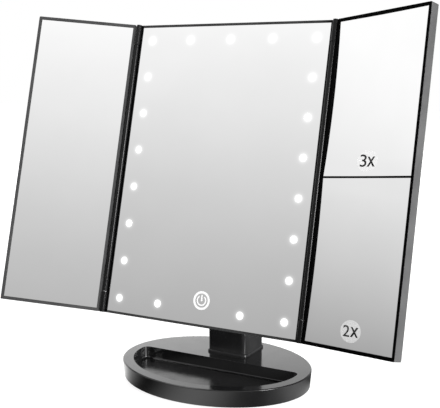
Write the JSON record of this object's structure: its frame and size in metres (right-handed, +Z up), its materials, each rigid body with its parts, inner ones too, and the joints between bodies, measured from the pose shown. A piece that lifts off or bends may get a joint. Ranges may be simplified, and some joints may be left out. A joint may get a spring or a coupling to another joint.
{
  "type": "led makeup mirror",
  "caption": "Table-top tri-fold makeup mirror with a lighted centre panel, folding magnifier wing, tilting neck and an oval base with a cosmetics tray.",
  "frame": {"origin": "middle of the oval base, on the table plane under the feet", "axes": "+Z up, +X to the right of a person who looks into the mirror, -Y to the front"},
  "size_m": [0.3362, 0.1247, 0.2885],
  "materials": {
    "gloss_black": "polished black moulding",
    "satin_black": "fine satin black moulding",
    "matte_black": "spark-eroded black moulding",
    "silvered_glass": "polished, silvered on the back",
    "led_white": "white lens",
    "board": "solder resist",
    "electrode": "bare foil",
    "steel": "plated",
    "nylon": "natural nylon",
    "contact_nickel": "nickel plated spring steel",
    "cell_jacket": "printed jacket, plain here",
    "rubber_black": "matt"
  },
  "bodies": {
    "stand": {"base_shell": "gloss_black", "base_plate": "matte_black", "battery_cells": "cell_jacket", "battery_contacts": "contact_nickel", "usb_socket": "steel", "usb_board": "board", "rubber_feet": "rubber_black", "base_screws": "steel", "neck": "gloss_black", "neck_screws": "steel", "tilt_axle": "steel", "tilt_nut": "steel", "tilt_washers": "nylon", "pivot_caps": "gloss_black"},
    "battery_door": {"battery_door": "matte_black"},
    "panel": {"panel_frame": "satin_black", "panel_rear_cover": "satin_black", "centre_mirror": "silvered_glass", "led_board": "board", "leds": "led_white", "touch_sensor": "electrode", "control_board": "board", "tilt_bracket": "matte_black", "bracket_screws": "steel", "panel_screws": "steel", "left_hinge_pins": "steel", "right_hinge_pins": "steel"},
    "left_wing": {"left_wing_frame": "satin_black", "left_wing_back": "satin_black", "left_mirror": "silvered_glass"},
    "right_wing": {"right_wing_frame": "satin_black", "right_wing_back": "satin_black", "mirror_3x": "silvered_glass", "mirror_2x": "silvered_glass"}
  },
  "joints": [
    {"name": "panel_tilt", "type": "hinge", "parent": "stand", "child": "panel", "pos_m": [0, 0.025, 0.1581], "axis": [1, 0, 0], "range_deg": [-75, 15]},
    {"name": "left_wing_fold", "type": "hinge", "parent": "panel", "child": "left_wing", "pos_m": [-0.0863, -0.00192, 0.16583], "axis": [0, 0.2588, 0.9659], "range_deg": [-22, 158]},
    {"name": "right_wing_fold", "type": "hinge", "parent": "panel", "child": "right_wing", "pos_m": [0.0863, -0.00192, 0.16583], "axis": [0, -0.2588, -0.9659], "range_deg": [-22, 158]},
    {"name": "door_swing", "type": "hinge", "parent": "stand", "child": "battery_door", "pos_m": [0, 0.0305, 0.001], "axis": [1, 0, 0], "range_deg": [0, 50]}
  ]
}
